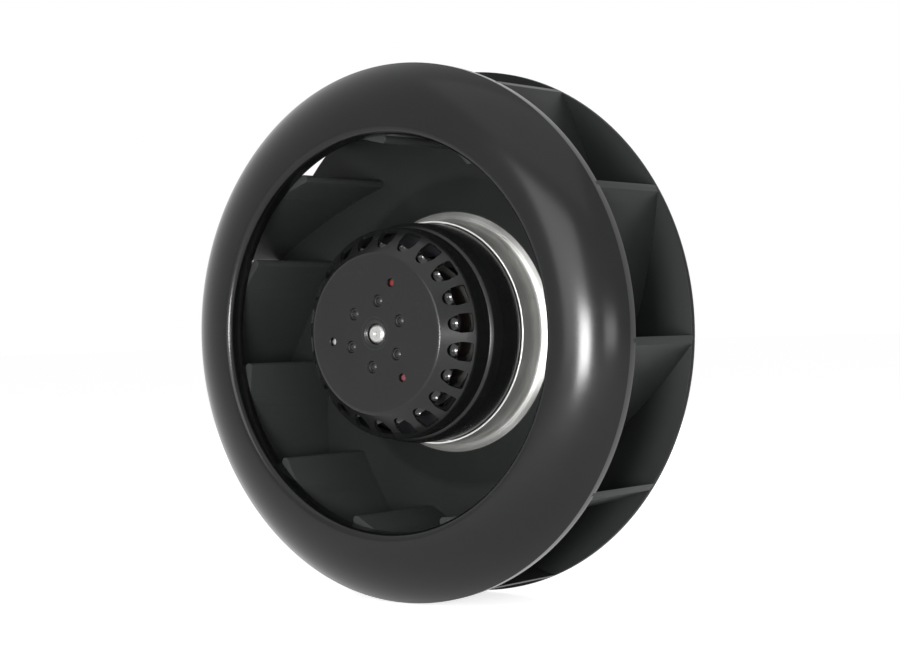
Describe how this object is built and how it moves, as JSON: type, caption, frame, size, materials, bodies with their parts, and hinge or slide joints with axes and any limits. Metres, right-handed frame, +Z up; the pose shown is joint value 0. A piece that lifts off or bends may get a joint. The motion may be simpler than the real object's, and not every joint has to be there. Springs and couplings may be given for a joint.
{
  "type": "centrifugal fan",
  "caption": "Backward-curved centrifugal fan wheel with a domed inlet shroud on an external-rotor motor with vented bell, ball bearings and a rear mounting flange.",
  "frame": {"origin": "on the axis of rotation, at the back face of the stator flange, where the motor is fastened", "axes": "+Y along the axis towards the back, out of the mounting face; the inlet faces -Y; +Z up; +X right as seen from the inlet"},
  "size_m": [0.225, 0.0723, 0.225],
  "materials": {
    "wheel_plastic": "glossy black moulded plastic",
    "black_paint": "satin black paint on drawn steel",
    "zinc_sheet": "bright zinc-plated sheet",
    "steel": "ground steel",
    "spring_steel": "oiled spring steel",
    "cage": "pressed cage with balls",
    "casting": "die-cast, machined face",
    "lamination": "stacked laminations",
    "winding": "copper wire under dark varnish",
    "insulation": "matt moulded insulation",
    "rubber": "matt black rubber",
    "red_plug": "dull red"
  },
  "bodies": {
    "stator": {"stator_flange": "casting", "end_cap": "casting", "cable_grommet": "rubber", "front_bearing_outer_ring": "steel", "rear_bearing_outer_ring": "steel", "wave_washer": "spring_steel", "stator_core": "lamination", "front_insulator": "insulation", "rear_insulator": "insulation", "front_winding": "winding", "rear_winding": "winding", "thermal_cutout": "insulation"},
    "impeller": {"back_plate": "wheel_plastic", "hub_ring": "zinc_sheet", "inlet_shroud": "wheel_plastic", "rotor_bell": "black_paint", "rotor_core": "lamination", "shaft": "steel", "shaft_clip": "spring_steel", "front_bearing_inner_ring": "steel", "rear_bearing_inner_ring": "steel", "face_plug_1": "red_plug", "face_plug_2": "steel", "face_plug_3": "red_plug", "blade_01": "wheel_plastic", "blade_02": "wheel_plastic", "blade_03": "wheel_plastic", "blade_04": "wheel_plastic", "blade_05": "wheel_plastic", "blade_06": "wheel_plastic", "blade_07": "wheel_plastic", "blade_08": "wheel_plastic", "blade_09": "wheel_plastic", "blade_10": "wheel_plastic", "blade_11": "wheel_plastic"},
    "front_cage": {"front_ball_cage": "cage"},
    "rear_cage": {"rear_ball_cage": "cage"}
  },
  "joints": [
    {"name": "impeller_spin", "type": "hinge", "parent": "stator", "child": "impeller", "pos_m": [0, -0.03, 0], "axis": [0, 1, 0], "continuous": true},
    {"name": "front_cage_spin", "type": "hinge", "parent": "stator", "child": "front_cage", "pos_m": [0, -0.0535, 0], "axis": [0, 1, 0], "continuous": true},
    {"name": "rear_cage_spin", "type": "hinge", "parent": "stator", "child": "rear_cage", "pos_m": [0, -0.0085, 0], "axis": [0, 1, 0], "continuous": true}
  ],
  "couplings": [
    {"joint": "front_cage_spin", "follows": "impeller_spin", "ratio": 0.39},
    {"joint": "rear_cage_spin", "follows": "impeller_spin", "ratio": 0.39}
  ]
}
